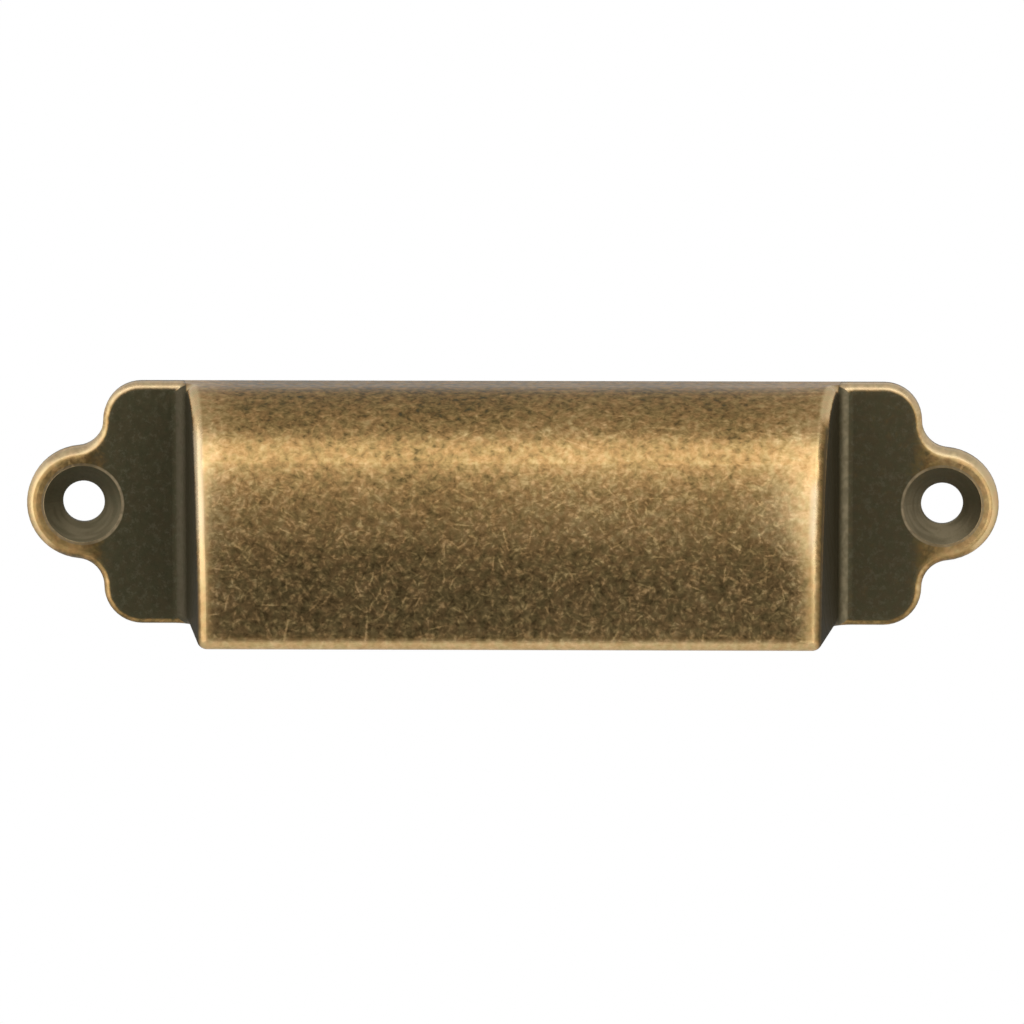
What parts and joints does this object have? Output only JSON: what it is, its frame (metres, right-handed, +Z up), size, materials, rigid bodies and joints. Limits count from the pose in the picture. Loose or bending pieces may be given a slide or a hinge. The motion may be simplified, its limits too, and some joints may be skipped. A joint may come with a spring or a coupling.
{
  "type": "edge pull",
  "caption": "Cast drawer pull with a hollow rounded hood to hook fingers under, between flat ogee flanges with countersunk screw ears, in antique brass",
  "frame": {"origin": "on the flat back plane, midway between the two screw holes", "axes": "+X along the pull, +Y into the drawer front it is screwed to, +Z up; the hood opens downwards and faces -Y"},
  "size_m": [0.0972, 0.0176, 0.0244],
  "materials": {
    "antique_brass": "antiqued: dark patina relieved and scratched back to brass on the proud surfaces"
  },
  "bodies": {
    "root": {"pull_casting": "antique_brass"}
  },
  "joints": []
}
